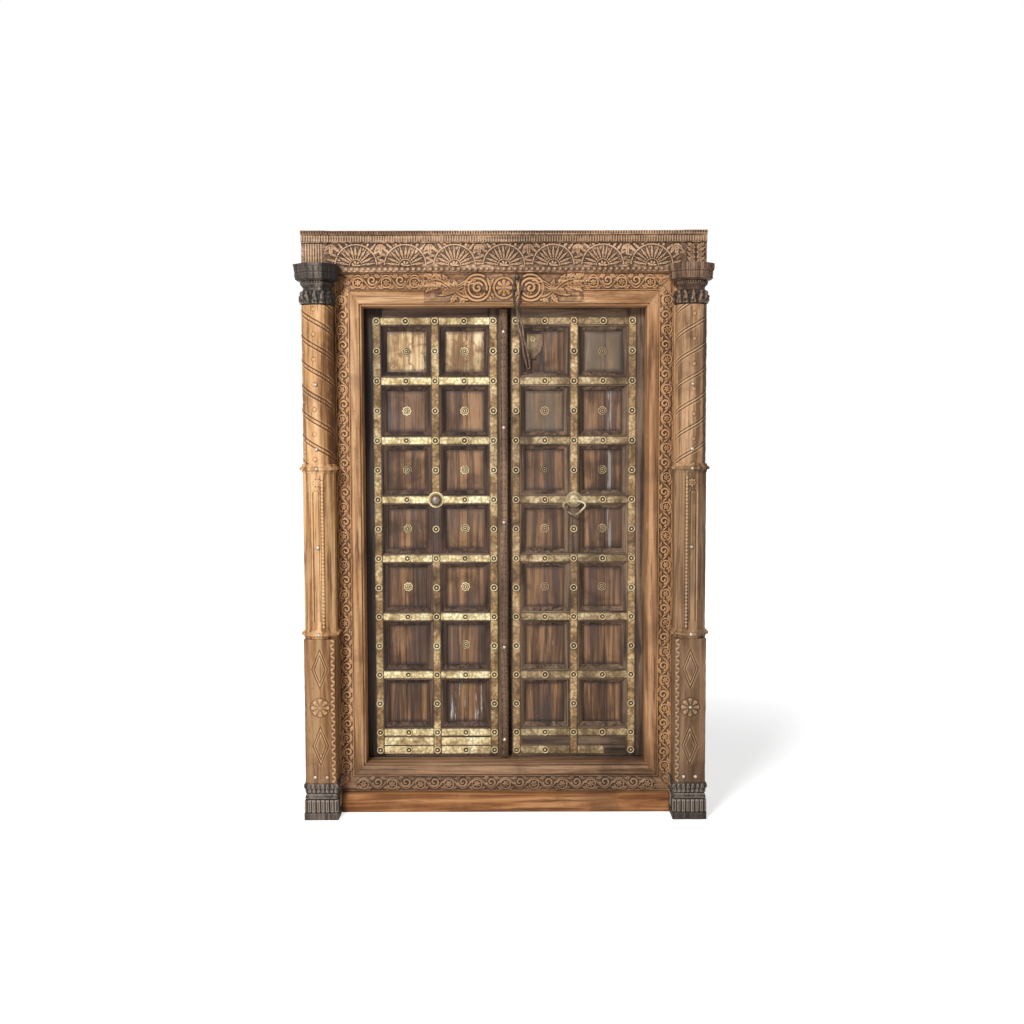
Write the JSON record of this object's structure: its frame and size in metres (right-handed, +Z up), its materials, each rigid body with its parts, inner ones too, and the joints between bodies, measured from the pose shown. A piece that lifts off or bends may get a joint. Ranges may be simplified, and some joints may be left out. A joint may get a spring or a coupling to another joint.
{
  "type": "carved double door with frame",
  "caption": "Carved double door in its wooden frame: turned pilasters, a lotus lintel, vine boards, pivot-hung panelled leaves with brass straps, a pull ring and a hasp chain.",
  "frame": {"origin": "on the floor, under the middle of the door's whole width and depth", "axes": "+Z up, +X to the right seen from the front, the front faces -Y"},
  "size_m": [1.47, 0.305, 2.09],
  "materials": {
    "tan_wood": "weathered, waxed hardwood with open grain and worn edges",
    "carved_wood": "carved hardwood, dark in the recesses and rubbed on the ridges",
    "dark_wood": "nearly black, dry old hardwood",
    "leaf_wood": "dark stained hardwood, dusty",
    "plank_wood": "dark hardwood planks with pale paint traces",
    "threshold_wood": "newer orange-brown hardwood with clear grain",
    "brass": "aged sheet brass with a brown patina",
    "iron": "forged iron, brown and dull",
    "nail_metal": "pale worn nail heads"
  },
  "bodies": {
    "frame": {"lintel": "carved_wood", "header": "tan_wood", "left_post": "tan_wood", "right_post": "tan_wood", "sill": "tan_wood", "threshold": "threshold_wood", "top_vine_boards": "carved_wood", "left_vine_board": "carved_wood", "right_vine_board": "carved_wood", "bottom_vine_board": "carved_wood", "top_architraves": "tan_wood", "left_architrave": "tan_wood", "right_architrave": "tan_wood", "bottom_architrave": "tan_wood", "header_crest": "carved_wood", "left_pilaster": "tan_wood", "right_pilaster": "tan_wood", "left_capital": "dark_wood", "right_capital": "dark_wood", "left_foot": "dark_wood", "right_foot": "dark_wood", "pilaster_studs": "nail_metal", "hasp_staple": "iron"},
    "left_leaf": {"left_hinge_stile": "leaf_wood", "left_meeting_stile": "leaf_wood", "left_top_rail": "leaf_wood", "left_cross_rails": "leaf_wood", "left_bottom_rail": "leaf_wood", "left_muntins": "leaf_wood", "left_planks": "plank_wood", "left_panel_mouldings": "leaf_wood", "left_upright_straps": "brass", "left_cross_straps": "brass", "left_kick_bands": "brass", "left_strap_bosses": "brass", "left_panel_flowers": "brass", "meeting_bar": "dark_wood", "meeting_bar_studs": "nail_metal", "left_knob": "iron", "left_knob_washer": "brass"},
    "right_leaf": {"right_hinge_stile": "leaf_wood", "right_meeting_stile": "leaf_wood", "right_top_rail": "leaf_wood", "right_cross_rails": "leaf_wood", "right_bottom_rail": "leaf_wood", "right_muntins": "leaf_wood", "right_planks": "plank_wood", "right_panel_mouldings": "leaf_wood", "right_upright_straps": "brass", "right_cross_straps": "brass", "right_kick_bands": "brass", "right_strap_bosses": "brass", "right_panel_flowers": "brass", "ring_boss": "brass", "hasp_bracket": "iron", "bracket_boss": "brass"},
    "ring": {"pull_ring": "brass"},
    "upper_link": {"hasp_upper_link": "iron"},
    "lower_link": {"hasp_lower_link": "iron"}
  },
  "joints": [
    {"name": "left_leaf_hinge", "type": "hinge", "parent": "frame", "child": "left_leaf", "pos_m": [-0.503, 0.1095, 1], "axis": [0, 0, 1], "range_deg": [0, 90]},
    {"name": "right_leaf_hinge", "type": "hinge", "parent": "frame", "child": "right_leaf", "pos_m": [0.503, 0.1095, 1], "axis": [0, 0, -1], "range_deg": [0, 90]},
    {"name": "pull_ring_hinge", "type": "hinge", "parent": "right_leaf", "child": "ring", "pos_m": [0.254, 0.049, 1.1288], "axis": [-1, 0, 0], "range_deg": [0, 120]},
    {"name": "upper_link_hinge", "type": "hinge", "parent": "frame", "child": "upper_link", "pos_m": [0.045, -0.0265, 1.9369], "axis": [-1, 0, 0], "range_deg": [0, 70]},
    {"name": "lower_link_hinge", "type": "hinge", "parent": "upper_link", "child": "lower_link", "pos_m": [0.045, -0.0265, 1.8209], "axis": [-1, 0, 0], "range_deg": [0, 60]}
  ]
}
